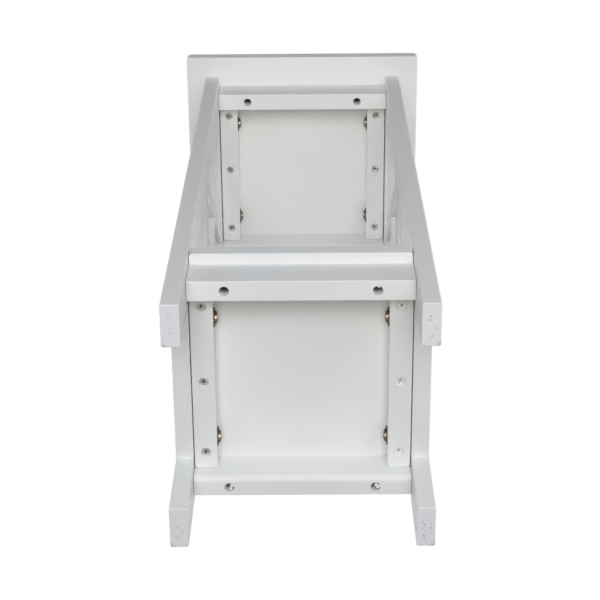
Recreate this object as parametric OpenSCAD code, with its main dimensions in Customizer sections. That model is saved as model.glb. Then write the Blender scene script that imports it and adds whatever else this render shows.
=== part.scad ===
// Two-tier plant stand of painted wood: two side frames, each of two legs, three rails and
// crossed braces, which carry a top board and a low shelf on aprons and bolted cleats.
// Millimetres. X runs left to right, -Y is the front, Z is up from the floor.

/* [Overall] */
// Height of the top surface above the floor
height = 762; // [600:1:900]
// Width of the top board, left to right
top_w = 305; // [260:1:460]
// Depth of the top board, front to back
top_d = 309; // [270:1:460]
// How far the top board reaches past the outer faces of the side frames
side_overhang = 24.5; // [10:0.5:40]
// How far the top board reaches past the front and rear faces of the legs
end_overhang = 26; // [10:1:40]

/* [Boards] */
// Thickness of the top board
top_t = 18.5; // [15:0.5:30]
// Thickness of the shelf board
shelf_t = 19.5; // [15:0.5:30]
// Height of the shelf's upper surface above the floor
shelf_z = 141; // [110:0.5:250]
// Radius of both boards' corners, seen from above
corner_r = 4.5; // [3:0.5:12]
// Radius of the eased edges of both boards
board_edge_r = 1.25; // [0.5:0.25:2.75]

/* [Side frames] */
// Thickness of the legs and rails, left to right
frame_t = 18; // [16:0.5:30]
// Width of a leg, front to back
leg_w = 43; // [38:1:60]
// Height of each side rail
rail_h = 43; // [38:1:60]
// Radius of the sanded long edges of legs, rails, cleats and aprons
wood_edge_r = 1; // [0.5:0.25:2]

/* [Cross braces] */
// Width of a brace strip
brace_w = 18; // [12:1:30]
// Thickness of a brace strip
brace_t = 6; // [4:0.5:10]
// How far the braces lie behind the inner faces of legs and rails
brace_inset = 0.5; // [0:0.25:4]

/* [Aprons] */
// Thickness of an apron, front to back
apron_t = 21; // [17:0.5:25]
// Height of an apron
apron_h = 43; // [35:1:60]
// Radius of a rear apron's lower inner edge
apron_inner_r = 6; // [1:0.5:8]
// How far the shelf's aprons stand behind the front and rear faces of the legs
apron_inset = 11; // [2:0.5:15]
// How much further in the top aprons stand
top_apron_shift = 1; // [0:0.5:4]
// Gap between a leg and the end of an apron or of the shelf
end_gap = 0.5; // [0.25:0.25:3]

/* [Cleats] */
// Width of a cleat, left to right
cleat_w = 23; // [18:0.5:30]
// Height of a cleat
cleat_h = 24; // [20:0.5:32]
// Gap between a cleat and the side rail beside it
cleat_gap = 1; // [0.5:0.25:4]
// Gap between a cleat's rear end and the rear apron
cleat_end_gap = 0.5; // [0.25:0.25:10]
// Radius of a cleat's rear corners, seen from below
cleat_corner_r = 3.5; // [2:0.5:6]

/* [Cleat screws] */
// Distance from a cleat's front end to its front screw
cleat_front_inset = 14.5; // [12:0.5:18]
// Distance from a cleat's rear end to its rear screw
cleat_rear_inset = 17.5; // [12:0.5:20]
// How far the middle screws of the top cleats stand forward of half way
top_screw_shift = 5.5; // [0:0.5:8]
// Diameter of a cleat screw's shank
cleat_screw_d = 4; // [3:0.5:5]
// Length of a cleat screw
cleat_screw_l = 34; // [30:1:35]
// Diameter of a cleat screw's countersunk head
cleat_screw_head_d = 8.5; // [7:0.5:10]
// How deep a cleat screw's head is driven below the face of the cleat
cleat_screw_sink = 3; // [1:0.25:3]
// Diameter of a screw's sinking at the face of the cleat
cleat_sink_d = 10.5; // [10.5:0.5:12]
// Width of the slots of the cross recess in all screw heads
screw_slot = 1.1; // [0.8:0.1:1.4]

/* [Apron screws] */
// Distance from a shelf apron's end to the nearest of its two counterbored holes
apron_hole_inset = 36; // [25:1:50]
// How much further from the ends the holes of the top aprons are
top_hole_shift = 2; // [0:0.5:6]
// How far the holes of the rear aprons are behind the middle of their lower faces
rear_hole_shift = 1.5; // [0:0.5:2]
// Diameter of a counterbored hole
apron_hole_d = 10; // [9:0.5:12]
// Depth of a counterbored hole
apron_hole_depth = 22; // [15:1:26]
// Diameter of an apron screw's shank
apron_screw_d = 4; // [3:0.5:5]
// Length of an apron screw under its head
apron_screw_l = 33; // [30:1:34]
// Diameter of an apron screw's head
apron_screw_head_d = 8; // [7:0.5:8.5]
// Height of an apron screw's head
apron_screw_head_h = 2.6; // [2:0.2:4]

/* [Connector bolts] */
// Distance from a leg to the nearest of the two bolts in a rail
bolt_inset = 19.5; // [19.5:0.5:28]
// How far forward the two bolts of a top rail are shifted
top_bolt_shift = 2; // [0:0.5:2]
// Diameter of a bolt's shank
bolt_d = 6; // [5:0.5:7]
// How far a bolt's tip reaches into the side rail
bolt_reach = 11; // [8:0.5:12]
// Diameter of a bolt's domed head
bolt_head_d = 13; // [11:0.5:15]
// Height of a bolt's domed head
bolt_head_h = 3; // [2.6:0.2:4]
// Height of the upright rim of a bolt's head
bolt_rim_h = 1.4; // [0.6:0.2:1.8]
// Width across flats of the hexagonal socket in a bolt's head
bolt_socket = 4; // [3:0.5:5]
// Outer diameter of a washer
washer_d = 19.5; // [17:0.5:21]
// Thickness of a washer
washer_t = 1.2; // [0.8:0.2:2]
// Outer diameter of a threaded insert
insert_d = 9; // [8.5:0.5:11]
// Thickness of a threaded insert's closed end
insert_end_t = 1.5; // [1:0.5:2]

/* [Dowels] */
// Diameter of a dowel
dowel_d = 6; // [5:0.5:8]
// How far a dowel reaches into a leg
dowel_in_leg = 18; // [12:1:25]
// How far a dowel reaches into a rail
dowel_in_rail = 12; // [8:1:12]
// Distance between the two dowels of a joint
dowel_pitch = 24; // [16:1:26]

/* [Fits] */
// Clearance round screws, bolts and dowels, on the radius
hole_fit = 0.1; // [0.05:0.05:0.3]

/* [Hidden] */
$fn = 48;

// Colours of the finishes
white_paint = [0.93, 0.93, 0.92];
yellow_zinc = [0.80, 0.66, 0.34];
raw_beech = [0.80, 0.65, 0.46];
bright_zinc = [0.72, 0.73, 0.74];

// Sides and ends: -1 is left or front, +1 is right or rear
left = -1;
right = 1;
front = -1;
rear = 1;

// Width and depth over the side frames, their inner faces and the inner edges of their legs
frame_w = top_w - 2 * side_overhang;
frame_d = top_d - 2 * end_overhang;
frame_in_x = frame_w / 2 - frame_t;
leg_in_y = frame_d / 2 - leg_w;

// Undersides of the boards, which the aprons and cleats are screwed to
top_under = height - top_t;
shelf_under = shelf_z - shelf_t;

// Lower faces of the three rails of a side frame; the middle one is half way
top_rail_z = top_under - rail_h;
bottom_rail_z = shelf_z - rail_h;
middle_rail_z = (top_rail_z + bottom_rail_z) / 2;

// Aprons and shelf fit between the legs
between_legs = 2 * (frame_in_x - end_gap);

// Middle of the aprons under a board, and the spacing of their holes
function apron_y(under) =
    frame_d / 2 - apron_inset - apron_t / 2 - (under == top_under ? top_apron_shift : 0);
function apron_hole_pitch(under) =
    between_legs - 2 * apron_hole_inset - (under == top_under ? 2 * top_hole_shift : 0);

// Cleats under a board run from the front apron almost to the rear one
function cleat_l(under) = 2 * apron_y(under) - apron_t - cleat_end_gap;
cleat_x = frame_in_x - cleat_gap - cleat_w / 2;
cleat_y = -cleat_end_gap / 2;
cleat_screw_cone_h = (cleat_screw_head_d - cleat_screw_d) / 2;

// Bolts along a rail: their spacing, and how far forward they are shifted under a board
bolt_pitch = 2 * (leg_in_y - bolt_inset);
function bolt_shift(under) = under == top_under ? top_bolt_shift : 0;
function screw_shift(under) = under == top_under ? top_screw_shift : 0;

// A bolt goes through washer, cleat and gap into its insert
bolt_l = washer_t + cleat_w + cleat_gap + bolt_reach;
insert_l = bolt_reach + insert_end_t;

// Cuts reach this far past a face, so that nothing is left standing
past = 1;

// Copies its children to two places, a distance apart along a direction
module pair_along(direction, distance) {
    for (end = [-1, 1])
        translate(direction * end * distance / 2)
            children();
}

// Rectangle with rounded corners, about the origin
module rounded_rectangle(w, h, r) {
    square([w - 2 * r, h], center = true);
    square([w, h - 2 * r], center = true);
    pair_along([1, 0, 0], w - 2 * r)
        pair_along([0, 1, 0], h - 2 * r)
            circle(r);
}

// Outer edge of a board in section, from the start of its corner radius outwards
module board_edge(r, t, edge_r) {
    intersection() {
        square([r, t]);
        union() {
            square([r - edge_r, t]);
            translate([0, edge_r])
                square([r, t - 2 * edge_r]);
            for (z = [edge_r, t - edge_r])
                translate([r - edge_r, z])
                    circle(edge_r);
        }
    }
}

// Board lying on z = 0 with round corners and eased edges all round
module eased_board(w, d, t, r, edge_r) {
    flat_w = w - 2 * r;
    flat_d = d - 2 * r;
    translate([-flat_w / 2, -flat_d / 2, 0])
        cube([flat_w, flat_d, t]);
    for (turn = [0, 180])
        rotate([0, 0, turn]) {
            translate([flat_w / 2, flat_d / 2, 0])
                rotate([90, 0, 0])
                    linear_extrude(flat_d)
                        board_edge(r, t, edge_r);
            translate([-flat_w / 2, flat_d / 2, 0])
                rotate([90, 0, 90])
                    linear_extrude(flat_w)
                        board_edge(r, t, edge_r);
            translate([flat_w / 2, flat_d / 2, 0])
                rotate_extrude(angle = 90)
                    board_edge(r, t, edge_r);
            translate([-flat_w / 2, flat_d / 2, 0])
                rotate([0, 0, 90])
                    rotate_extrude(angle = 90)
                        board_edge(r, t, edge_r);
        }
}

// Bar lying along Y, centred in X and Y, standing on z = 0, with sanded long edges
module bar_along_y(l, w, h, r) {
    translate([0, l / 2, h / 2])
        rotate([90, 0, 0])
            linear_extrude(l)
                rounded_rectangle(w, h, r);
}

// Places of the three screws along a cleat under a board
module at_cleat_screws(under) {
    half = cleat_l(under) / 2;
    for (y = [cleat_front_inset - half, -screw_shift(under), half - cleat_rear_inset])
        translate([0, cleat_y + y, 0])
            children();
}

// Places of the two screws of an apron under a board, in line with its length
module at_apron_screws(end, under) {
    translate([0, end == rear ? rear_hole_shift : 0, 0])
        pair_along([1, 0, 0], apron_hole_pitch(under))
            children();
}

// Countersunk head and shank, the head's flat face down at z = 0 and the tip up
module countersunk(fit) {
    cylinder(h = cleat_screw_cone_h, r1 = cleat_screw_head_d / 2 + fit, r2 = cleat_screw_d / 2 + fit);
    cylinder(h = cleat_screw_l, d = cleat_screw_d + 2 * fit);
}

// Cross recess with a round middle, cut upwards into a head whose face is at z = 0
module cross_recess(w, depth) {
    for (turn = [0, 90])
        rotate([0, 0, turn])
            translate([-w / 2, -screw_slot / 2, -past])
                cube([w, screw_slot, past + depth]);
    translate([0, 0, -past])
        cylinder(h = past + depth, d = 2 * screw_slot);
}

// Countersunk wood screw
module cleat_screw() {
    difference() {
        countersunk(0);
        cross_recess(cleat_screw_d, cleat_screw_cone_h * 0.85);
    }
}

// Room that a cleat screw takes in cleat and board, flared open to below
module cleat_screw_hole() {
    translate([0, 0, cleat_screw_sink])
        countersunk(hole_fit);
    cylinder(h = cleat_screw_sink, r1 = cleat_sink_d / 2, r2 = cleat_screw_head_d / 2 + hole_fit);
    translate([0, 0, -past])
        cylinder(h = past, d = cleat_sink_d);
}

// Pan-headed wood screw, the seat of its head at z = 0 and its tip up
module apron_screw() {
    difference() {
        union() {
            translate([0, 0, -apron_screw_head_h])
                cylinder(h = apron_screw_head_h, d = apron_screw_head_d);
            cylinder(h = apron_screw_l, d = apron_screw_d);
        }
        translate([0, 0, -apron_screw_head_h])
            cross_recess(apron_screw_d, apron_screw_head_h * 0.7);
    }
}

// Holes under a board for the screws of both cleats and both aprons
module board_screw_holes(under) {
    pilot_depth = apron_hole_depth + apron_screw_l - apron_h;
    for (side = [left, right])
        translate([side * cleat_x, 0, -cleat_h])
            at_cleat_screws(under)
                cleat_screw_hole();
    for (end = [front, rear])
        translate([0, end * apron_y(under), -past])
            at_apron_screws(end, under)
                cylinder(h = past + pilot_depth, d = apron_screw_d + 2 * hole_fit);
}

// Top board with the screw holes in its underside
module top_board() {
    color(white_paint)
        translate([0, 0, top_under])
            difference() {
                eased_board(top_w, top_d, top_t, corner_r, board_edge_r);
                board_screw_holes(top_under);
            }
}

// Shelf board, as deep as the side frames and fitted between them
module shelf_board() {
    color(white_paint)
        translate([0, 0, shelf_under])
            difference() {
                eased_board(between_legs, frame_d, shelf_t, corner_r, board_edge_r);
                board_screw_holes(shelf_under);
            }
}

// Apron in section, its outer face to the left, its lower inner edge rounded to its own radius
module apron_section(inner_r) {
    difference() {
        rounded_rectangle(apron_t, apron_h, wood_edge_r);
        translate([apron_t / 2 - inner_r, -apron_h / 2 - past])
            square([inner_r + past, inner_r + past]);
    }
    intersection() {
        translate([apron_t / 2 - inner_r, inner_r - apron_h / 2])
            circle(inner_r);
        translate([0, -apron_h / 2])
            square([apron_t / 2, inner_r]);
    }
}

// Apron under a board, with two counterbored screw holes
module apron(end, under) {
    color(white_paint)
        translate([0, end * apron_y(under), under - apron_h])
            difference() {
                rotate([0, 0, 90 + end * 90])
                    translate([-between_legs / 2, 0, apron_h / 2])
                        rotate([90, 0, 90])
                            linear_extrude(between_legs)
                                apron_section(end == rear ? apron_inner_r : wood_edge_r);
                at_apron_screws(end, under) {
                    translate([0, 0, -past])
                        cylinder(h = past + apron_hole_depth, d = apron_hole_d);
                    cylinder(h = apron_h + past, d = apron_screw_d + 2 * hole_fit);
                }
            }
}

// Cleat under a board, with its screw holes and the two holes for the bolts
module cleat(side, under) {
    l = cleat_l(under);
    color(white_paint)
        translate([side * cleat_x, 0, under - cleat_h])
            difference() {
                translate([0, cleat_y, 0])
                    intersection() {
                        bar_along_y(l, cleat_w, cleat_h, wood_edge_r);
                        translate([0, -cleat_corner_r, 0])
                            linear_extrude(cleat_h)
                                rounded_rectangle(cleat_w, l + 2 * cleat_corner_r, cleat_corner_r);
                    }
                at_cleat_screws(under)
                    cleat_screw_hole();
                translate([0, -bolt_shift(under), cleat_h / 2])
                    pair_along([0, 1, 0], bolt_pitch)
                        rotate([0, 90, 0])
                            cylinder(h = cleat_w + 2 * past, d = bolt_d + 2 * hole_fit, center = true);
            }
}

// Places of the bolts in one side frame, two at each board, pointing outwards
module at_bolts(side) {
    for (under = [top_under, shelf_under])
        translate([side * frame_in_x, -bolt_shift(under), under - cleat_h / 2])
            pair_along([0, 1, 0], bolt_pitch)
                rotate([0, side * 90, 0])
                    children();
}

// Places of the dowels of one rail, two at each end, pointing into the rear or front leg
module at_rail_dowels(side, rail_z) {
    for (end = [front, rear])
        translate([side * (frame_in_x + frame_t / 2), end * leg_in_y, rail_z + rail_h / 2])
            pair_along([0, 0, 1], dowel_pitch)
                rotate([-end * 90, 0, 0])
                    children();
}

// Dowel, from its end in the rail to its end in the leg
module dowel(fit) {
    translate([0, 0, -dowel_in_rail - fit])
        cylinder(h = dowel_in_rail + dowel_in_leg + fit, d = dowel_d + 2 * fit);
}

// Side rail between the legs, flush with both of their faces
module rail(side, rail_z) {
    color(white_paint)
        difference() {
            translate([side * (frame_in_x + frame_t / 2), 0, rail_z])
                bar_along_y(2 * leg_in_y, frame_t, rail_h, wood_edge_r);
            at_bolts(side)
                translate([0, 0, -past])
                    cylinder(h = past + insert_l, d = insert_d + 2 * hole_fit);
            at_rail_dowels(side, rail_z)
                dowel(hole_fit);
        }
}

// Leg from the floor to the top board, with the dowel holes of its three rails
module leg(side, end) {
    color(white_paint)
        difference() {
            translate([side * (frame_in_x + frame_t / 2), end * (leg_in_y + leg_w / 2), 0])
                eased_board(frame_t, leg_w, top_under, 2 * wood_edge_r, wood_edge_r);
            for (rail_z = [top_rail_z, middle_rail_z, bottom_rail_z])
                at_rail_dowels(side, rail_z)
                    dowel(hole_fit);
        }
}

// Brace strip across a frame opening from corner to corner, seen as its outline in Y and Z
module brace_outline(rise, low_z, high_z) {
    opening_d = 2 * leg_in_y;
    opening_h = high_z - low_z;
    reach = norm([opening_d, opening_h]);
    translate([0, (low_z + high_z) / 2])
        intersection() {
            square([opening_d, opening_h], center = true);
            rotate(rise * atan2(opening_h, opening_d))
                square([reach, brace_w], center = true);
        }
}

// One of two crossed braces; the rising one keeps its inner half at the crossing
module brace(side, rise, low_z, high_z) {
    lap_x = frame_in_x + brace_inset + brace_t / 2;
    color(white_paint)
        difference() {
            translate([side * lap_x, 0, 0])
                brace_blank(rise, low_z, high_z, brace_t);
            translate([side * (lap_x + rise * (brace_t / 4 + past / 2)), 0, 0])
                brace_blank(-rise, low_z, high_z, brace_t / 2 + past);
        }
}

// Solid of a brace outline, centred on x = 0
module brace_blank(rise, low_z, high_z, t) {
    rotate([90, 0, 90])
        linear_extrude(t, center = true)
            brace_outline(rise, low_z, high_z);
}

// Screws of both cleats under one board
module cleat_screws(under) {
    color(white_paint)
        for (side = [left, right])
            translate([side * cleat_x, 0, under - cleat_h + cleat_screw_sink])
                at_cleat_screws(under)
                    cleat_screw();
}

// Screws of both aprons under one board
module apron_screws(under) {
    color(bright_zinc)
        for (end = [front, rear])
            translate([0, end * apron_y(under), under - apron_h + apron_hole_depth])
                at_apron_screws(end, under)
                    apron_screw();
}

// Round head of a bolt with an upright rim and a domed face, from its seat at z = 0 down
module bolt_head() {
    dome_h = bolt_head_h - bolt_rim_h;
    dome_r = (pow(bolt_head_d / 2, 2) + pow(dome_h, 2)) / (2 * dome_h);
    difference() {
        intersection() {
            translate([0, 0, dome_r - bolt_head_h])
                sphere(dome_r);
            translate([0, 0, -bolt_head_h])
                cylinder(h = bolt_head_h, d = bolt_head_d);
        }
        translate([0, 0, -bolt_head_h - past])
            cylinder(h = past + bolt_head_h * 0.6, d = bolt_socket / cos(30), $fn = 6);
    }
}

// Four bolts of one side frame, each seated on its washer
module bolts(side) {
    color(yellow_zinc)
        at_bolts(side)
            translate([0, 0, -cleat_gap - cleat_w - washer_t]) {
                bolt_head();
                cylinder(h = bolt_l, d = bolt_d);
            }
}

// Four washers of one side frame, flat against the cleats
module washers(side) {
    color(yellow_zinc)
        at_bolts(side)
            translate([0, 0, -cleat_gap - cleat_w - washer_t])
                difference() {
                    cylinder(h = washer_t, d = washer_d);
                    translate([0, 0, -past])
                        cylinder(h = washer_t + 2 * past, d = bolt_d + 2 * hole_fit);
                }
}

// Four threaded inserts of one side frame, each at the bottom of its hole
module inserts(side) {
    color(bright_zinc)
        at_bolts(side)
            difference() {
                cylinder(h = insert_l, d = insert_d);
                translate([0, 0, -past])
                    cylinder(h = past + bolt_reach, d = bolt_d + 2 * hole_fit);
            }
}

// Dowels of one side frame
module dowels(side) {
    color(raw_beech)
        for (rail_z = [top_rail_z, middle_rail_z, bottom_rail_z])
            at_rail_dowels(side, rail_z)
                dowel(0);
}

// Openings of a side frame, from the top of one rail to the underside of the next
module upper_brace(side, rise) {
    brace(side, rise, middle_rail_z + rail_h, top_rail_z);
}

module lower_brace(side, rise) {
    brace(side, rise, bottom_rail_z + rail_h, middle_rail_z);
}

top_board();
shelf_board();
apron(front, top_under);  // top_front_apron
apron(rear, top_under);  // top_rear_apron
apron(front, shelf_under);  // shelf_front_apron
apron(rear, shelf_under);  // shelf_rear_apron
cleat(left, top_under);  // top_left_cleat
cleat(right, top_under);  // top_right_cleat
cleat(left, shelf_under);  // shelf_left_cleat
cleat(right, shelf_under);  // shelf_right_cleat
leg(left, front);  // front_left_leg
leg(right, front);  // front_right_leg
leg(left, rear);  // rear_left_leg
leg(right, rear);  // rear_right_leg
rail(left, top_rail_z);  // left_top_rail
rail(left, middle_rail_z);  // left_middle_rail
rail(left, bottom_rail_z);  // left_bottom_rail
rail(right, top_rail_z);  // right_top_rail
rail(right, middle_rail_z);  // right_middle_rail
rail(right, bottom_rail_z);  // right_bottom_rail
upper_brace(left, 1);  // left_upper_brace_rising
upper_brace(left, -1);  // left_upper_brace_falling
lower_brace(left, 1);  // left_lower_brace_rising
lower_brace(left, -1);  // left_lower_brace_falling
upper_brace(right, 1);  // right_upper_brace_rising
upper_brace(right, -1);  // right_upper_brace_falling
lower_brace(right, 1);  // right_lower_brace_rising
lower_brace(right, -1);  // right_lower_brace_falling
cleat_screws(top_under);  // top_cleat_screws
cleat_screws(shelf_under);  // shelf_cleat_screws
apron_screws(top_under);  // top_apron_screws
apron_screws(shelf_under);  // shelf_apron_screws
bolts(left);  // left_bolts
bolts(right);  // right_bolts
washers(left);  // left_washers
washers(right);  // right_washers
inserts(left);  // left_inserts
inserts(right);  // right_inserts
dowels(left);  // left_dowels
dowels(right);  // right_dowels
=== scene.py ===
"""Looks of a white painted plant stand: paint, raw wood, plated fasteners, floor and studio light."""

import math

import bmesh
import bpy
from mathutils import Matrix, Vector, noise


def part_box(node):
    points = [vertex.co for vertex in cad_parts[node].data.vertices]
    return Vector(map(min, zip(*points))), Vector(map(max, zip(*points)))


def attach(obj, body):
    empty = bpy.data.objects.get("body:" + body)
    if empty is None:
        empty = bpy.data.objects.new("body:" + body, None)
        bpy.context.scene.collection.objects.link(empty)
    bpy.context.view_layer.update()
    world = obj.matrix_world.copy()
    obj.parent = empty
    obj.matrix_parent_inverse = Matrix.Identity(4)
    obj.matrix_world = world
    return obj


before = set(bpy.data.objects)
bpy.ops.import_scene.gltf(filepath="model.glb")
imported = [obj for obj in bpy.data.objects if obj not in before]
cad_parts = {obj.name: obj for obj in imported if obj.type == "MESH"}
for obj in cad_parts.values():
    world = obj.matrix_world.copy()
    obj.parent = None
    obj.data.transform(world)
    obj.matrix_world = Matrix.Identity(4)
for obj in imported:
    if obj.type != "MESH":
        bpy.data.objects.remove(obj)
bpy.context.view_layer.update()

MM = 0.001


def extent(node):
    """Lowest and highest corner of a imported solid, in millimetres to the fourth place."""
    return [Vector([round(part / MM, 4) for part in corner]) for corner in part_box(node)]


# Feet: the lower ends of the legs
LEG_LOW, LEG_HIGH = extent("front_right_leg")
FOOT_BACK = -LEG_LOW.y
FOOT_L = LEG_HIGH.y - LEG_LOW.y
FOOT_PITCH = extent("rear_right_leg")[0].y - LEG_LOW.y
FOOT_MIDDLE_X = (LEG_LOW.x + LEG_HIGH.x) / 2
FOOT_OUTER_X = LEG_HIGH.x

# Aprons, and the height halfway between the two boards
SHELF_APRON_LOW, SHELF_APRON_HIGH = extent("shelf_front_apron")
TOP_APRON_LOW = extent("top_front_apron")[0]
APRON_PITCH_Z = TOP_APRON_LOW.z - SHELF_APRON_LOW.z
HALFWAY_Z = (extent("shelf_board")[1].z + extent("top_board")[0].z) / 2

# Counterbores of the apron screws, over the screws' heads; the front ones are in the middle of their apron
APRON_SCREW_HEAD_R = 4.0
SHELF_SCREWS_LOW, SHELF_SCREWS_HIGH = extent("shelf_apron_screws")
HOLE_X = SHELF_SCREWS_HIGH.x - APRON_SCREW_HEAD_R
HOLE_MIDDLE_Y = (SHELF_SCREWS_LOW.y + SHELF_SCREWS_HIGH.y) / 2
HOLE_Y = HOLE_MIDDLE_Y - (SHELF_APRON_LOW.y + SHELF_APRON_HIGH.y) / 2
TOP_HOLE_IN_X = SHELF_SCREWS_HIGH.x - extent("top_apron_screws")[1].x
TOP_HOLE_IN_Y = TOP_APRON_LOW.y - SHELF_APRON_LOW.y
HOLE_RADIUS = 5.0

# Cleat screws: how far their faces are above the lower faces of the aprons
SCREW_FACE = extent("shelf_cleat_screws")[0].z - SHELF_APRON_LOW.z

# Bolts: their heads seat on the washers, and those under the top board are a little further forward
BOLT_HEAD_R = 6.5
BOLTS_LOW, BOLTS_HIGH = extent("right_bolts")
BOLT_Y = BOLTS_HIGH.y - BOLT_HEAD_R
TOP_BOLT_FORWARD = -(BOLTS_LOW.y + BOLTS_HIGH.y)
HEAD_SEAT_X = extent("right_washers")[0].x

# Braces: how steeply their strips rise
BRACE_LOW, BRACE_HIGH = extent("right_lower_brace_rising")
BRACE_ANGLE = math.atan2(BRACE_HIGH.z - BRACE_LOW.z, BRACE_HIGH.y - BRACE_LOW.y)

# Patterns in the paint: waves or cells to a millimetre, and how far each stands out in millimetres
DRIFT_PER_MM = 0.008
RINGS_PER_MM = 0.11
RINGS_HEIGHT = 0.05
FIBRES_PER_MM = 0.9
FIBRES_HEIGHT = 0.018
STROKES_PER_MM = 2.6
STROKES_HEIGHT = 0.006
PEEL_PER_MM = 0.55
PEEL_HEIGHT = 0.03
NIBS_PER_MM = 0.05
NIB_RADIUS = 0.45
NIB_CHANCE = 0.35
NIB_HEIGHT = 0.05

# Patterns in the beech, in waves to a millimetre
BEECH_TONE_PER_MM = 0.5
BEECH_FLECKS_PER_MM = 1.6

# Share of its waves that a pattern keeps, twice across the grain and then along it
PAINT_GRAIN = (1, 1, 0.035)
BEECH_GRAIN = (1, 1, 0.04)
BEECH_FLECKS = (1, 1, 0.25)

# Marks in the paint, in millimetres; a pair is where a mark starts and where it is full. The pitted edge is
# a share of the pitted half sizes, squared, and the worn patches a level of their pattern
HOLE_MARGIN = 0.05
RAW_DEPTH = (5, 17)
RAW_RAGGED = 14
RAW_RAGGED_PER_MM = 0.25
RAW_FIBRES_HEIGHT = 0.3
TOP_RAW_DEEPER = 5
PITTED_HALF_W = 5.5
PITTED_HALF_L = 15
PITTED_EDGE = (1.2, 0.6)
PITS_PER_MM = 0.36
PIT_RADIUS = 0.95
PIT_CHANCE = 0.62
PIT_DEPTH = 0.3
FOOT_END_Z = (1.6, 0.3)
CORNER_WEAR = (9, 2.5)
WEAR_PER_MM = 0.5
WEAR_PATCHES = (0.36, 0.58)
WEAR_DEPTH = 0.1

# Marks on the fasteners, in millimetres; the band and the crown rise place a painted highlight on the bolts
PATCHES_PER_MM = 0.42
PATCH_HEIGHT = 0.05
SCREW_GRIT_PER_MM = 2.4
# The screws' recesses are darkened as painted shade from this depth on
RECESS_DEPTH = (0.15, 0.5)
PLATING_GRIT_PER_MM = 3.0
GRIT_HEIGHT = 0.02
BAND_FORWARD = 2.2
BAND_HALF_W = (1.7, 0.6)
CROWN_RISE = (0.5, 1.3)

# How strongly the marks show, as a share; the feet's tint is a painted cast of bluish light
FOOT_TINT = 0.7
WEAR_SHOWS = 0.65
PITS_SHOW = 0.9

# How rough and how glossy the finishes are, and how strongly their bumps show
PAINT_ROUGHNESS = 0.46
PAINT_IOR = 1.45
PAINT_GLOSS = 0.11
SCREW_ROUGHNESS = 0.45
PLATING_ROUGHNESS = 0.3
FILM_ROUGHER = 0.12
CROWN_SMOOTHER = 0.24
BEECH_ROUGHNESS = 0.62
PAINT_RELIEF = 0.6
PLATING_RELIEF = 0.5
BEECH_RELIEF = 0.6

# Colours of the finishes
WHITE_COOL = (0.872, 0.878, 0.876)
WHITE_WARM = (0.884, 0.883, 0.866)
# Bluish cast painted on the feet's ends, standing in for the bluish light on them
WHITE_BLUISH = (0.840, 0.855, 0.888)
WHITE_SHADED = (0.70, 0.70, 0.68)
PIT_GREY = (0.20, 0.20, 0.20)
BARE_GREY = (0.36, 0.35, 0.33)
SCREW_GREY = (0.33, 0.33, 0.315)
# Near black painted shade for the screws' recesses
RECESS_SHADE = (0.02, 0.02, 0.02)
# The yellow zinc's hues are kept dark as painted shade, standing in for dark surroundings mirrored in the
# film
YELLOW_ZINC = ((0.088, 0.067, 0.038), (0.17, 0.127, 0.075), (0.068, 0.056, 0.037), (0.23, 0.18, 0.11))
BRIGHT_ZINC = ((0.62, 0.64, 0.66), (0.70, 0.71, 0.72))
# Near black apron screws: painted shade for the bottom of their deep counterbores
APRON_SCREW_SHADE = ((0.030, 0.028, 0.026), (0.060, 0.056, 0.050))
# Painted highlight on the bolts' crowns: gold on the lower left bolts, dull on the others
HIGHLIGHT_GOLD = (0.80, 0.72, 0.58)
HIGHLIGHT_DULL = (0.46, 0.42, 0.34)
# Greyer film on the bolts under the top board, a painted shade that dulls them
GREYED_OLIVE = (0.15, 0.15, 0.115)
DULL_OLIVE = (0.08, 0.075, 0.055)
DULL_ZINC = (0.34, 0.34, 0.33)
RAW_WOOD_PALE = (0.40, 0.35, 0.35)
RAW_WOOD_DARK = (0.26, 0.225, 0.235)
BEECH_PALE = (0.64, 0.44, 0.26)
BEECH_DEEP = (0.50, 0.31, 0.16)
BEECH_FLECK = (0.34, 0.19, 0.09)


class Value:
    """A number from a node; Python's operators turn into Math nodes."""

    def __init__(self, finish, socket):
        self.finish = finish
        self.socket = socket

    def math(self, operation, *others):
        """This value and others through one Math node."""
        inputs = {i + 1: other for i, other in enumerate(others)}
        return self.finish.node("ShaderNodeMath", {"operation": operation}, {0: self, **inputs})

    def flipped(self, operation, other):
        """A plain number before this value in a Math node."""
        return self.finish.node("ShaderNodeMath", {"operation": operation}, {0: other, 1: self})

    def __add__(self, other):
        return self.math("ADD", other)

    def __mul__(self, other):
        return self.math("MULTIPLY", other)

    def __sub__(self, other):
        return self.math("SUBTRACT", other)

    def __truediv__(self, other):
        return self.math("DIVIDE", other)

    def __rsub__(self, other):
        return self.flipped("SUBTRACT", other)

    def __rtruediv__(self, other):
        return self.flipped("DIVIDE", other)

    __radd__ = __add__
    __rmul__ = __mul__

    def between(self, low, high):
        """0 at low, 1 at high, smooth in between; low may be the larger."""
        ends = {"Value": self, "From Min": low, "From Max": high}
        return self.finish.node("ShaderNodeMapRange", {"interpolation_type": "SMOOTHSTEP"}, ends)


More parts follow.
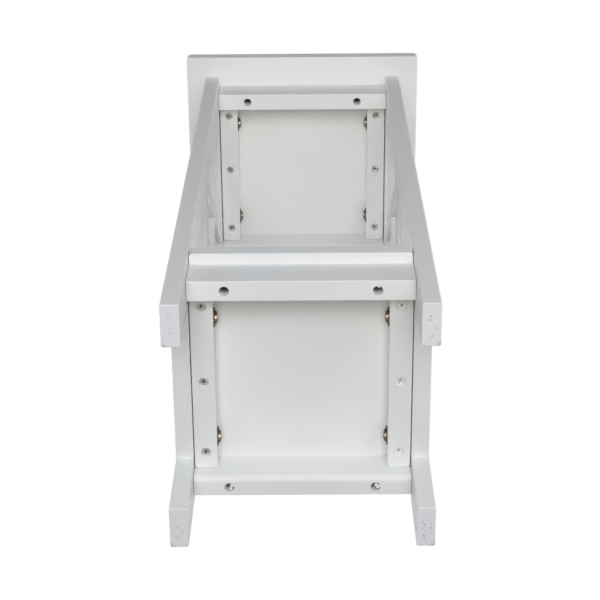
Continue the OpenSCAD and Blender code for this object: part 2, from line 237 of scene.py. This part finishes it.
class Finish:
    """A material, or the world, whose nodes all come from one method."""

    def __init__(self, name, tree=None):
        if tree is None:
            self.material = bpy.data.materials.new(name)
            self.material.use_nodes = True
            tree = self.material.node_tree
        tree.nodes.clear()
        self.tree = tree

    def node(self, kind, settings=None, sockets=None, output=0):
        """Adds a node, sets it up, fills or links its sockets and returns one output."""
        node = self.tree.nodes.new(kind)
        for name, setting in (settings or {}).items():
            if name == "stops":
                self.set_stops(node.color_ramp, setting)
            else:
                setattr(node, name, setting)
        for name, value in (sockets or {}).items():
            socket = node.inputs[name] if isinstance(name, int) else self.named(node, name)
            if isinstance(value, Value):
                self.tree.links.new(value.socket, socket)
            else:
                socket.default_value = value
        if isinstance(output, str):
            output = next(i for i, s in enumerate(node.outputs) if s.name == output and s.enabled)
        return Value(self, node.outputs[output]) if len(node.outputs) else node

    @staticmethod
    def named(node, name):
        """The input of that name which the node's settings leave in use."""
        return next(s for s in node.inputs if s.name == name and s.enabled)

    @staticmethod
    def set_stops(ramp, stops):
        """Gives a colour ramp its stops, each a place and a colour."""
        while len(ramp.elements) < len(stops):
            ramp.elements.new(1)
        for element, (place, colour) in zip(ramp.elements, stops):
            element.position = place
            element.color = (*colour, 1)

    def mix(self, share, first, second):
        """Colour between two colours; a share of 1 is the second."""
        first, second = [c if isinstance(c, Value) else (*c, 1) for c in (first, second)]
        sockets = {"Factor": share, "A": first, "B": second}
        return self.node("ShaderNodeMix", {"data_type": "RGBA"}, sockets, output="Result")

    def place(self, turn=(0, 0, 0), stretch=(1, 1, 1)):
        """Place on the stand in millimetres, turned and then stretched."""
        metres = self.node("ShaderNodeTexCoord", output="Object")
        turned = self.node("ShaderNodeMapping", None, {"Vector": metres, "Rotation": turn})
        return self.node("ShaderNodeMapping", {"vector_type": "TEXTURE"},
                         {"Vector": turned, "Scale": [MM / s for s in stretch]})

    def part_of(self, place, axis):
        """One coordinate of a place."""
        return self.node("ShaderNodeSeparateXYZ", None, {"Vector": place}, output=axis)

    def under_top(self, place):
        """1 at the pieces under the top board, 0 at those under the shelf."""
        return self.part_of(place, "Z").math("GREATER_THAN", HALFWAY_Z)

    def above_apron_foot(self, place):
        """Height above the lower face of the aprons of either board."""
        return (self.part_of(place, "Z") - SHELF_APRON_LOW.z).math("MODULO", APRON_PITCH_Z)

    def noise(self, place, per_mm, detail, distortion=0.0):
        """Soft random pattern about 0.5, so many waves to a millimetre."""
        pattern = {"Vector": place, "Scale": per_mm, "Detail": detail, "Distortion": distortion}
        return self.node("ShaderNodeTexNoise", None, pattern)

    def specks(self, place, per_mm, radius, chance):
        """1 in round specks scattered over the surface, 0 between them; each cell has one by chance."""
        cells = {"Vector": place, "Scale": per_mm, "Randomness": 1.0}
        distance = self.node("ShaderNodeTexVoronoi", {"feature": "F1"}, cells) / per_mm
        lot = self.node("ShaderNodeTexVoronoi", {"feature": "F1"}, cells, output="Color")
        red = self.node("ShaderNodeSeparateColor", None, {"Color": lot}, output="Red")
        return distance.between(radius, radius * 0.4) * red.math("LESS_THAN", chance)

    def in_holes(self, place):
        """1 inside the counterbores of the apron screws, 0 elsewhere."""
        top = self.under_top(place)
        across = self.part_of(place, "X").math("ABSOLUTE") + top * TOP_HOLE_IN_X - HOLE_X
        back = (self.part_of(place, "Y") - HOLE_MIDDLE_Y).math("ABSOLUTE") + top * TOP_HOLE_IN_Y - HOLE_Y
        distance = (across * across + back * back).math("SQRT")
        return distance.math("LESS_THAN", HOLE_RADIUS + HOLE_MARGIN)

    def foot_marks(self, place):
        """The feet's ends, the pits in their middles and the wear at their outer rear corners, 0 to 1."""
        out = self.part_of(place, "X").math("ABSOLUTE")
        back = (self.part_of(place, "Y") + FOOT_BACK).math("MODULO", FOOT_PITCH)
        across = (out - FOOT_MIDDLE_X) / PITTED_HALF_W
        along = (back - FOOT_L / 2) / PITTED_HALF_L
        middle = (across * across + along * along).between(*PITTED_EDGE)
        foot = self.part_of(place, "Z").between(*FOOT_END_Z)
        strength = self.part_of(place, "X").between(-1, 1) * 0.5 + 0.5
        pits = self.specks(place, PITS_PER_MM, PIT_RADIUS, PIT_CHANCE) * middle * foot * strength
        corner = (FOOT_OUTER_X - out + FOOT_L - back).between(*CORNER_WEAR)
        rubbed = self.noise(place, WEAR_PER_MM, detail=3).between(*WEAR_PATCHES) * corner * foot
        return foot, pits, rubbed

    def on_crown(self, place):
        """1 on a narrow band across the crown of each bolt's head, in front of its middle, where a highlight
        is painted; 0 elsewhere.
        """
        forward = self.under_top(place) * TOP_BOLT_FORWARD + BAND_FORWARD
        along = (self.part_of(place, "Y") + forward).math("ABSOLUTE") - BOLT_Y
        raised = HEAD_SEAT_X - self.part_of(place, "X").math("ABSOLUTE")
        return along.math("ABSOLUTE").between(*BAND_HALF_W) * raised.between(*CROWN_RISE)

    def bump(self, height_mm, strength):
        """Normal of a surface raised by a height in millimetres."""
        return self.node("ShaderNodeBump", None, {"Height": height_mm, "Distance": MM, "Strength": strength})

    def surface(self, sockets):
        """Ends the material in one Principled shader."""
        shader = self.node("ShaderNodeBsdfPrincipled", None, sockets)
        self.node("ShaderNodeOutputMaterial", None, {"Surface": shader})
        return self.material


ALONG_X = (0, math.radians(90), 0)
ALONG_Y = (math.radians(90), 0, 0)
ALONG_Z = (0, 0, 0)


def painted_wood(name, grain, bored=False, feet=False):
    """Low-sheen white paint over wood of one grain; some pieces have raw screw holes, some marked feet."""
    paint = Finish(name)
    place = paint.place()
    along = paint.place(grain, PAINT_GRAIN)
    drift = paint.noise(place, DRIFT_PER_MM, detail=1)
    rings = paint.noise(along, RINGS_PER_MM, detail=2, distortion=0.6)
    fibres = paint.noise(along, FIBRES_PER_MM, detail=3)
    strokes = paint.noise(along, STROKES_PER_MM, detail=1)
    peel = paint.noise(place, PEEL_PER_MM, detail=2)
    nibs = paint.specks(place, NIBS_PER_MM, NIB_RADIUS, NIB_CHANCE)
    grain_tone = (rings - 0.5) * 0.05 + (fibres - 0.5) * 0.03
    white = paint.mix(drift.between(0.3, 0.7), WHITE_COOL, WHITE_WARM)
    colour = paint.mix(grain_tone + 0.06, white, WHITE_SHADED)
    height = rings * RINGS_HEIGHT + fibres * FIBRES_HEIGHT + strokes * STROKES_HEIGHT
    height = height + peel * PEEL_HEIGHT + nibs * NIB_HEIGHT
    rough = PAINT_ROUGHNESS + (peel - 0.5) * 0.18 + (strokes - 0.5) * 0.08
    if feet:
        foot, pits, rubbed = paint.foot_marks(place)
        # Painted light: the feet's ends are tinted with a bluish cast of light
        colour = paint.mix(foot * FOOT_TINT, colour, WHITE_BLUISH)
        colour = paint.mix(rubbed * WEAR_SHOWS, colour, BARE_GREY)
        colour = paint.mix(pits * PITS_SHOW, colour, PIT_GREY)
        height = height - pits * PIT_DEPTH - rubbed * WEAR_DEPTH
        rough = rough + rubbed * 0.2
    if bored:
        ragged = (paint.noise(place, RAW_RAGGED_PER_MM, detail=3) - 0.5) * RAW_RAGGED
        depth = paint.above_apron_foot(place) - paint.under_top(place) * TOP_RAW_DEEPER + ragged
        raw = depth.between(*RAW_DEPTH) * paint.in_holes(place)
        wood = paint.mix(fibres.between(0.3, 0.7), RAW_WOOD_PALE, RAW_WOOD_DARK)
        colour = paint.mix(raw, colour, wood)
        height = height + fibres * raw * RAW_FIBRES_HEIGHT
        rough = rough + raw * 0.3
    return paint.surface({"Base Color": colour, "Roughness": rough, "IOR": PAINT_IOR,
                          "Specular IOR Level": PAINT_GLOSS, "Normal": paint.bump(height, PAINT_RELIEF)})


def painted_screw(name, cover_left, cover_right):
    """Steel screw head under thin paint that covers a share of it, bare in places, with painted shade
    darkening its recess.
    """
    paint = Finish(name)
    place = paint.place()
    side = paint.part_of(place, "X").between(-1, 1)
    cover = side * (cover_right - cover_left) + cover_left
    patch = (paint.noise(place, PATCHES_PER_MM, detail=3) - cover).between(-0.06, 0.06)
    grit = paint.noise(place, SCREW_GRIT_PER_MM, detail=2)
    # Painted shade: the cross recess is darkened towards black, more where the head is bare
    recess = (paint.above_apron_foot(place) - SCREW_FACE).between(*RECESS_DEPTH)
    colour = paint.mix(patch, WHITE_WARM, SCREW_GREY)
    colour = paint.mix(grit * 0.15, colour, BARE_GREY)
    colour = paint.mix(recess * (patch * 0.6 + 0.35), colour, RECESS_SHADE)
    height = (grit - patch) * PATCH_HEIGHT
    rough = SCREW_ROUGHNESS + (grit - 0.5) * 0.25
    return paint.surface({"Base Color": colour, "Roughness": rough, "Metallic": patch * 0.3,
                          "IOR": PAINT_IOR, "Normal": paint.bump(height, PAINT_RELIEF)})


def plated_steel(name, hues, hues_per_mm, dull_hue, painted_highlight=False):
    """Plated steel whose passivated film wanders between hues; on the bolts a highlight is painted across
    each crown.
    """
    steel = Finish(name)
    place = steel.place()
    film = steel.noise(place, hues_per_mm, detail=2, distortion=1.5)
    grit = steel.noise(place, PLATING_GRIT_PER_MM, detail=3)
    stops = [(0.3 + 0.4 * i / (len(hues) - 1), hue) for i, hue in enumerate(hues)]
    colour = steel.node("ShaderNodeValToRGB", {"stops": stops}, {"Fac": film})
    dull = grit.between(0.5, 0.8)
    colour = steel.mix(dull * 0.35, colour, dull_hue)
    rough = PLATING_ROUGHNESS + dull * 0.2
    # Painted highlight and shade: a gold band across each bolt's crown, brighter on the lower left bolts,
    # and a greyer film on the bolts under the top board
    if painted_highlight:
        upper = steel.under_top(place)
        lower_left = steel.part_of(place, "X").between(1, -1) * (1 - upper)
        highlight_colour = steel.mix(lower_left, HIGHLIGHT_DULL, HIGHLIGHT_GOLD)
        bright = steel.on_crown(place)
        colour = steel.mix(upper * 0.6, colour, GREYED_OLIVE)
        colour = steel.mix(bright, colour, highlight_colour)
        rough = rough + FILM_ROUGHER - bright * CROWN_SMOOTHER
    return steel.surface({"Base Color": colour, "Metallic": 1.0, "Roughness": rough,
                          "Normal": steel.bump(grit * GRIT_HEIGHT, PLATING_RELIEF)})


def bare_beech(name, grain):
    """Beech rod with short dark flecks along its grain."""
    wood = Finish(name)
    flecks = wood.noise(wood.place(grain, BEECH_FLECKS), BEECH_FLECKS_PER_MM, detail=2).between(0.6, 0.7)
    tone = wood.noise(wood.place(grain, BEECH_GRAIN), BEECH_TONE_PER_MM, detail=4)
    colour = wood.mix(tone, BEECH_PALE, BEECH_DEEP)
    colour = wood.mix(flecks * 0.5, colour, BEECH_FLECK)
    rough = BEECH_ROUGHNESS + (tone - 0.5) * 0.2
    height = tone * 0.08 - flecks * 0.04
    return wood.surface({"Base Color": colour, "Roughness": rough,
                         "Normal": wood.bump(height, BEECH_RELIEF)})


finishes = {
    "across": painted_wood("white_paint_grain_across", ALONG_X),
    "bored": painted_wood("white_paint_with_raw_holes", ALONG_X, bored=True),
    "deep": painted_wood("white_paint_grain_front_to_back", ALONG_Y),
    "upright": painted_wood("white_paint_grain_upright", ALONG_Z, feet=True),
    "rising": painted_wood("white_paint_grain_rising", (math.radians(90) - BRACE_ANGLE, 0, 0)),
    "falling": painted_wood("white_paint_grain_falling", (BRACE_ANGLE - math.radians(90), 0, 0)),
    "top_screws": painted_screw("thinly_painted_screw", 0.41, 0.44),
    "shelf_screws": painted_screw("unevenly_painted_screw", 0.35, 0.63),
    "yellow": plated_steel("yellow_zinc_plating", YELLOW_ZINC, 0.12, DULL_OLIVE, painted_highlight=True),
    "bright": plated_steel("bright_zinc_plating", BRIGHT_ZINC, 0.2, DULL_ZINC),
    # The apron screws are made near black as painted shade deep in their holes
    "dark": plated_steel("blackened_screws", APRON_SCREW_SHADE, 0.3, DULL_OLIVE),
    "beech": bare_beech("beech_rod", ALONG_Y),
}


def finish_of(node):
    """The finish that a piece of the stand has, by its name."""
    if node.endswith("board"):
        return "across"
    if node.endswith("apron"):
        return "bored"
    if node.endswith("cleat") or node.endswith("rail"):
        return "deep"
    if node.endswith("leg"):
        return "upright"
    if "brace" in node:
        return node.rsplit("_", 1)[1]
    if node.endswith("cleat_screws"):
        return node.split("_", 1)[0] + "_screws"
    if node.endswith("bolts") or node.endswith("washers"):
        return "yellow"
    if node.endswith("dowels"):
        return "beech"
    return "dark" if node.endswith("apron_screws") else "bright"


for name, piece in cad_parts.items():
    piece.data.materials.clear()
    piece.data.materials.append(finishes[finish_of(name)])


# Dried paint in screw holes of the shelf's aprons: the hole's side and end, and how far each lump is to the
# right of the hole's middle and behind it, with its radius, in millimetres
LEFT, RIGHT = -1, 1
FRONT, REAR = -1, 1
DRIED_PAINT = {
    "dried_paint_rear_left": (LEFT, REAR, ((2.4, -1.4, 2.3), (1.3, 2.0, 1.6))),
    "dried_paint_rear_right": (RIGHT, REAR, ((0.5, -1.5, 2.0), (3.4, -0.4, 1.8), (1.7, 1.3, 1.4))),
    "dried_paint_front_right": (RIGHT, FRONT, ((-0.2, -4.1, 1.0), (1.3, -3.6, 1.0))),
}
LUMP_FLATNESS = 0.6
LUMP_HEIGHT = 0.75
LUMP_UNEVENNESS = 0.25
LUMP_WAVE = 1.5 * MM
LUMP_SKIN = 0.2 * MM


def make_dried_paint(name, side, end, lumps):
    """Lumps of dried paint that cling to the wall of an apron's screw hole, just inside its mouth."""
    shape = bmesh.new()
    hole = Vector((side * HOLE_X, HOLE_MIDDLE_Y + end * HOLE_Y, SHELF_APRON_LOW.z))
    for across, back, radius in lumps:
        middle = (hole + Vector((across, back, radius * LUMP_HEIGHT))) * MM
        size = Matrix.Diagonal((radius * MM, radius * MM, radius * MM * LUMP_FLATNESS, 1))
        spot = Matrix.Translation(middle) @ size
        made = bmesh.ops.create_icosphere(shape, subdivisions=3, radius=1, matrix=spot)
        for corner in made["verts"]:
            uneven = 1 + LUMP_UNEVENNESS * noise.noise(corner.co / LUMP_WAVE)
            corner.co = middle + (corner.co - middle) * uneven
    mesh = bpy.data.meshes.new(name)
    shape.to_mesh(mesh)
    shape.free()
    paint = bpy.data.objects.new(name, mesh)
    bpy.context.scene.collection.objects.link(paint)
    joined = paint.modifiers.new("joined", "REMESH")
    joined.mode = "VOXEL"
    joined.voxel_size = LUMP_SKIN
    joined.use_smooth_shade = True
    mesh.materials.append(finishes["across"])
    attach(paint, "root")


for name, (side, end, lumps) in DRIED_PAINT.items():
    make_dried_paint(name, side, end, lumps)


# Camera: the picture's width and the lens in pixels, how far the view leans back from straight up, small
# turns about the camera's own axes in radians, and where it sees the middle of the stand's foot, which is to
# the right, down and ahead in millimetres
PICTURE_PX = 600
FOCAL_PX = 1601.876
SENSOR_WIDTH = 36
LEAN_BACK = math.radians(24.4)
CAMERA_TURNS = ((-0.006, "Z"), (0.006, "Y"), (-0.010, "X"))
FOOT_SEEN_AT = Vector((1.539, 121.095, 1497.502))


def make_camera():
    """Camera at the photograph's viewing angle: in front of the stand and below it, looking up and back."""
    ahead = Vector((0, math.sin(LEAN_BACK), math.cos(LEAN_BACK)))
    right = Vector((1, 0, 0))
    turn = Matrix((right, ahead.cross(right), ahead))
    for angle, axis in reversed(CAMERA_TURNS):
        turn = Matrix.Rotation(angle, 3, axis) @ turn
    data = bpy.data.cameras.new("camera")
    data.sensor_width = SENSOR_WIDTH
    data.lens = FOCAL_PX / PICTURE_PX * SENSOR_WIDTH
    camera = bpy.data.objects.new("camera", data)
    camera.matrix_world = Matrix((turn[0], -turn[1], -turn[2])).transposed().to_4x4()
    camera.matrix_world.translation = -(turn.transposed() @ FOOT_SEEN_AT) * MM
    bpy.context.scene.collection.objects.link(camera)
    bpy.context.scene.camera = camera


def make_lamp(name, place, target, size, level, colour):
    """Square soft lamp that gives about the stated light level at its target."""
    data = bpy.data.lights.new(name, "AREA")
    data.shape = "SQUARE"
    data.size = size
    away = Vector(place) - Vector(target)
    data.energy = level * math.pi * away.length_squared * math.pi
    data.color = colour
    lamp = bpy.data.objects.new(name, data)
    lamp.location = place
    lamp.rotation_mode = "QUATERNION"
    lamp.rotation_quaternion = away.to_track_quat("Z", "Y")
    bpy.context.scene.collection.objects.link(lamp)


def make_world(level, colour):
    """Even light from all round, which shows as white where it is seen or mirrored."""
    world = bpy.data.worlds.new("studio")
    world.use_nodes = True
    bpy.context.scene.world = world
    sky = Finish("studio", world.node_tree)
    seen = sky.node("ShaderNodeLightPath", output="Is Camera Ray")
    for ray in ("Is Glossy Ray", "Is Transmission Ray"):
        seen = seen.math("MAXIMUM", sky.node("ShaderNodeLightPath", output=ray))
    light = sky.node("ShaderNodeBackground", None, {"Color": (*colour, 1), "Strength": level})
    white = sky.node("ShaderNodeBackground", None, {"Color": (1, 1, 1, 1), "Strength": 1.0})
    shown = sky.node("ShaderNodeMixShader", None, {0: seen, 1: light, 2: white})
    sky.node("ShaderNodeOutputWorld", None, {"Surface": shown})


# Floor: its radius and how far it lies under the feet in metres, and where it fades in millimetres
FLOOR_RADIUS = 2.5
FLOOR_DROP = 0.0004
FLOOR_CORNERS = 64
FLOOR_FADE = (700, 2200)
FLOOR_DARKER = (0.86, 0.86, 0.855)
FLOOR_LIGHTER = (0.90, 0.90, 0.895)
FLOOR_GLOW = 0.15


def make_floor():
    """Pale floor that fades into the white background; nothing of it shows from below."""
    mesh = bpy.data.meshes.new("floor")
    angles = [math.tau * i / FLOOR_CORNERS for i in range(FLOOR_CORNERS)]
    corners = [(FLOOR_RADIUS * math.cos(a), FLOOR_RADIUS * math.sin(a), 0) for a in angles]
    mesh.from_pydata(corners, [], [list(range(FLOOR_CORNERS))])
    floor = bpy.data.objects.new("floor", mesh)
    bpy.context.scene.collection.objects.link(floor)
    floor.location.z = -FLOOR_DROP
    pale = Finish("pale_floor")
    place = pale.place()
    distance = pale.node("ShaderNodeVectorMath", {"operation": "LENGTH"}, {0: place}, output="Value")
    gone = distance.between(*FLOOR_FADE)
    below = pale.node("ShaderNodeNewGeometry", output="Backfacing")
    hidden = gone.math("MAXIMUM", below)
    mottle = pale.noise(place, 0.02, detail=3)
    colour = pale.mix(mottle, FLOOR_DARKER, FLOOR_LIGHTER)
    matt = pale.node("ShaderNodeBsdfDiffuse", None, {"Color": colour})
    glow = pale.node("ShaderNodeEmission", None, {"Color": (1, 1, 1, 1), "Strength": FLOOR_GLOW})
    lit = pale.node("ShaderNodeAddShader", None, {0: matt, 1: glow})
    clear = pale.node("ShaderNodeBsdfTransparent")
    shown = pale.node("ShaderNodeMixShader", None, {0: hidden, 1: lit, 2: clear})
    pale.node("ShaderNodeOutputMaterial", None, {"Surface": shown})
    mesh.materials.append(pale.material)
    floor.visible_shadow = False
    floor.visible_diffuse = False
    floor.visible_glossy = False
    floor.visible_transmission = False


# Light, in metres: the point that every softbox faces, the even light from all round, and each softbox's
# place, the side of its square, its light level and its colour
LIT_POINT = (0, 0, 0.35)
AMBIENT_LEVEL = 0.02
AMBIENT_COLOUR = (0.97, 0.98, 1.0)
SOFTBOXES = (
    ("softbox_front_below", (0.0, -3.0, -4.85), 3.0, 0.312, (1.045, 0.985, 0.97)),
    ("softbox_near_below", (0.0, -1.0, -1.38), 1.0, 0.175, (1.0, 1.03, 0.97)),
    ("softbox_front", (0.0, -4.6, -3.5), 3.0, 0.095, (0.84, 0.93, 1.23)),
    ("softbox_behind_below", (0.0, 3.0, -4.85), 3.0, 0.1, (1.03, 1.01, 0.96)),
    ("softbox_front_left", (-1.2, -1.2, -1.0), 0.9, 0.065, (0.9, 1.0, 1.1)),
    ("softbox_front_right", (1.2, -1.2, -1.0), 0.9, 0.13, (0.93, 1.0, 1.07)),
    ("softbox_left", (-2.2, -0.3, 0.4), 1.2, 0.31, (0.99, 1.035, 0.975)),
    ("softbox_right", (2.2, -0.3, 0.4), 1.2, 0.34, (1.015, 1.04, 0.945)),
    ("softbox_overhead", (0.0, 1.1, 2.9), 0.9, 0.65, (1, 1, 1)),
    ("softbox_behind", (0.0, 3.2, 1.6), 2.0, 0.55, (1, 1, 1)),
)

make_camera()
make_floor()
make_world(AMBIENT_LEVEL, AMBIENT_COLOUR)
for name, place, size, level, colour in SOFTBOXES:
    make_lamp(name, place, LIT_POINT, size, level, colour)
bpy.context.scene.view_settings.view_transform = "Standard"
